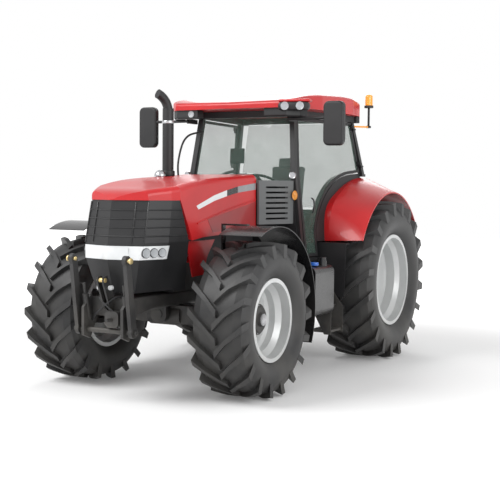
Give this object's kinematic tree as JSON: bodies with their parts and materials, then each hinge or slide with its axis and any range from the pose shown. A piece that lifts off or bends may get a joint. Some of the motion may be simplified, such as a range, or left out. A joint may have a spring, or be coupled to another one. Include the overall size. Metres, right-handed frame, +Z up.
{
  "type": "farm tractor with closed cab and front linkage",
  "caption": "Farm tractor with a glazed cab, lugged tyres, a lifting bonnet, a steered front axle, a folding front linkage and a rear implement hitch.",
  "frame": {"origin": "centre of the bounding box's bottom face, on the ground plane", "axes": "+X is the tractor's left, the front faces -Y, +Z is up"},
  "size_m": [2.7304, 5.18, 3.14],
  "materials": {
    "red_paint": "glossy red body paint",
    "tyre_rubber": "matte rubber",
    "rim_silver": "silver-grey enamel",
    "dark_casting": "dark chassis enamel over castings",
    "black_gloss": "glossy black moulding",
    "black_trim": "satin black",
    "grey_plastic": "grained dark grey moulding",
    "tinted_glass": "lightly tinted glass",
    "lamp_white": "clear lamp covers over bright reflectors",
    "amber": "amber lens",
    "seat_fabric": "woven grey seat cloth"
  },
  "bodies": {
    "rear_wheel_left": {"tyre_rear_left": "tyre_rubber", "rim_rear_left": "rim_silver", "hub_rear_left": "rim_silver"},
    "front_wheel_left": {"tyre_front_left": "tyre_rubber", "rim_front_left": "rim_silver", "hub_front_left": "dark_casting"},
    "knuckle_left": {"knuckle_left": "dark_casting", "mudguard_left": "black_gloss"},
    "chassis": {"fender_left": "red_paint", "fender_right": "red_paint", "front_axle": "dark_casting", "front_support": "dark_casting", "engine_block": "dark_casting", "transmission": "dark_casting", "side_panels": "red_paint", "exhaust": "black_trim", "cab_frame": "black_trim", "side_louvres": "grey_plastic", "roof": "red_paint", "roof_lamps": "black_trim", "windscreen": "tinted_glass", "fender_trims": "black_trim", "fuel_tank": "black_gloss", "right_tank": "black_gloss", "steps": "dark_casting", "mirrors": "black_trim", "beacon": "amber", "dash": "grey_plastic", "steering_wheel": "black_trim", "seat_frame": "black_trim", "seat_pads": "seat_fabric", "front_linkage": "dark_casting", "drawbar": "dark_casting"},
    "door_left": {"door_left": "black_trim", "door_glass_left": "tinted_glass"},
    "rear_wheel_right": {"tyre_rear_right": "tyre_rubber", "rim_rear_right": "rim_silver", "hub_rear_right": "rim_silver"},
    "front_wheel_right": {"tyre_front_right": "tyre_rubber", "rim_front_right": "rim_silver", "hub_front_right": "dark_casting"},
    "knuckle_right": {"knuckle_right": "dark_casting", "mudguard_right": "black_gloss"},
    "door_right": {"door_right": "black_trim", "door_glass_right": "tinted_glass"},
    "bonnet": {"hood": "red_paint", "grille": "black_trim", "lamp_band": "lamp_white"},
    "rear_window": {"rear_window": "tinted_glass"},
    "front_links": {"front_links": "dark_casting"},
    "lower_links": {"lower_links": "dark_casting"},
    "lift_arms": {"lift_arms": "dark_casting"},
    "lift_rods": {"lift_rods": "dark_casting"},
    "top_link": {"top_link": "dark_casting"}
  },
  "joints": [
    {"name": "rear_wheel_spin_left", "type": "hinge", "parent": "chassis", "child": "rear_wheel_left", "pos_m": [1.04, 1.5, 0.93], "axis": [1, 0, 0], "continuous": true},
    {"name": "front_wheel_spin_left", "type": "hinge", "parent": "knuckle_left", "child": "front_wheel_left", "pos_m": [0.96, -1.384, 0.75], "axis": [1, 0, 0], "continuous": true},
    {"name": "steer_left", "type": "hinge", "parent": "chassis", "child": "knuckle_left", "pos_m": [0.72, -1.384, 0.75], "axis": [0, 0, 1], "range_deg": [-27, 27]},
    {"name": "rear_wheel_spin_right", "type": "hinge", "parent": "chassis", "child": "rear_wheel_right", "pos_m": [-1.04, 1.5, 0.93], "axis": [1, 0, 0], "continuous": true},
    {"name": "front_wheel_spin_right", "type": "hinge", "parent": "knuckle_right", "child": "front_wheel_right", "pos_m": [-0.96, -1.384, 0.75], "axis": [1, 0, 0], "continuous": true},
    {"name": "steer_right", "type": "hinge", "parent": "chassis", "child": "knuckle_right", "pos_m": [-0.72, -1.384, 0.75], "axis": [0, 0, 1], "range_deg": [-27, 27]},
    {"name": "door_left_swing", "type": "hinge", "parent": "chassis", "child": "door_left", "pos_m": [0.85473, 1.44578, 2.47653], "axis": [-0.1709, -0.144, 0.9747], "range_deg": [0, 65]},
    {"name": "door_right_swing", "type": "hinge", "parent": "chassis", "child": "door_right", "pos_m": [-0.85473, 1.44578, 2.47653], "axis": [0.1709, -0.144, 0.9747], "range_deg": [-65, 0]},
    {"name": "bonnet_lift", "type": "hinge", "parent": "chassis", "child": "bonnet", "pos_m": [0, -0.445, 1.985], "axis": [-1, 0, 0], "range_deg": [0, 30]},
    {"name": "rear_window_lift", "type": "hinge", "parent": "chassis", "child": "rear_window", "pos_m": [0, 1.53, 2.81], "axis": [1, 0, 0], "range_deg": [0, 50]},
    {"name": "front_links_fold", "type": "hinge", "parent": "chassis", "child": "front_links", "pos_m": [0, -2.44, 0.69], "axis": [1, 0, 0], "range_deg": [0, 95]},
    {"name": "lift_arms_turn", "type": "hinge", "parent": "chassis", "child": "lift_arms", "pos_m": [0, 1.694, 1.225], "axis": [1, 0, 0], "range_deg": [-30, 20]},
    {"name": "lower_links_swing", "type": "hinge", "parent": "chassis", "child": "lower_links", "pos_m": [0, 1.71, 0.655], "axis": [1, 0, 0], "range_deg": [-23, 16]},
    {"name": "lift_rods_swing", "type": "hinge", "parent": "lift_arms", "child": "lift_rods", "pos_m": [0, 2.024, 1.33], "axis": [1, 0, 0], "range_deg": [-25, 36]},
    {"name": "top_link_swing", "type": "hinge", "parent": "chassis", "child": "top_link", "pos_m": [0, 1.8, 1.03], "axis": [1, 0, 0], "range_deg": [-45, 76]}
  ],
  "couplings": [
    {"joint": "steer_right", "follows": "steer_left", "ratio": 1},
    {"joint": "lower_links_swing", "follows": "lift_arms_turn", "ratio": 0.75},
    {"joint": "lift_rods_swing", "follows": "lift_arms_turn", "ratio": -1.1}
  ]
}
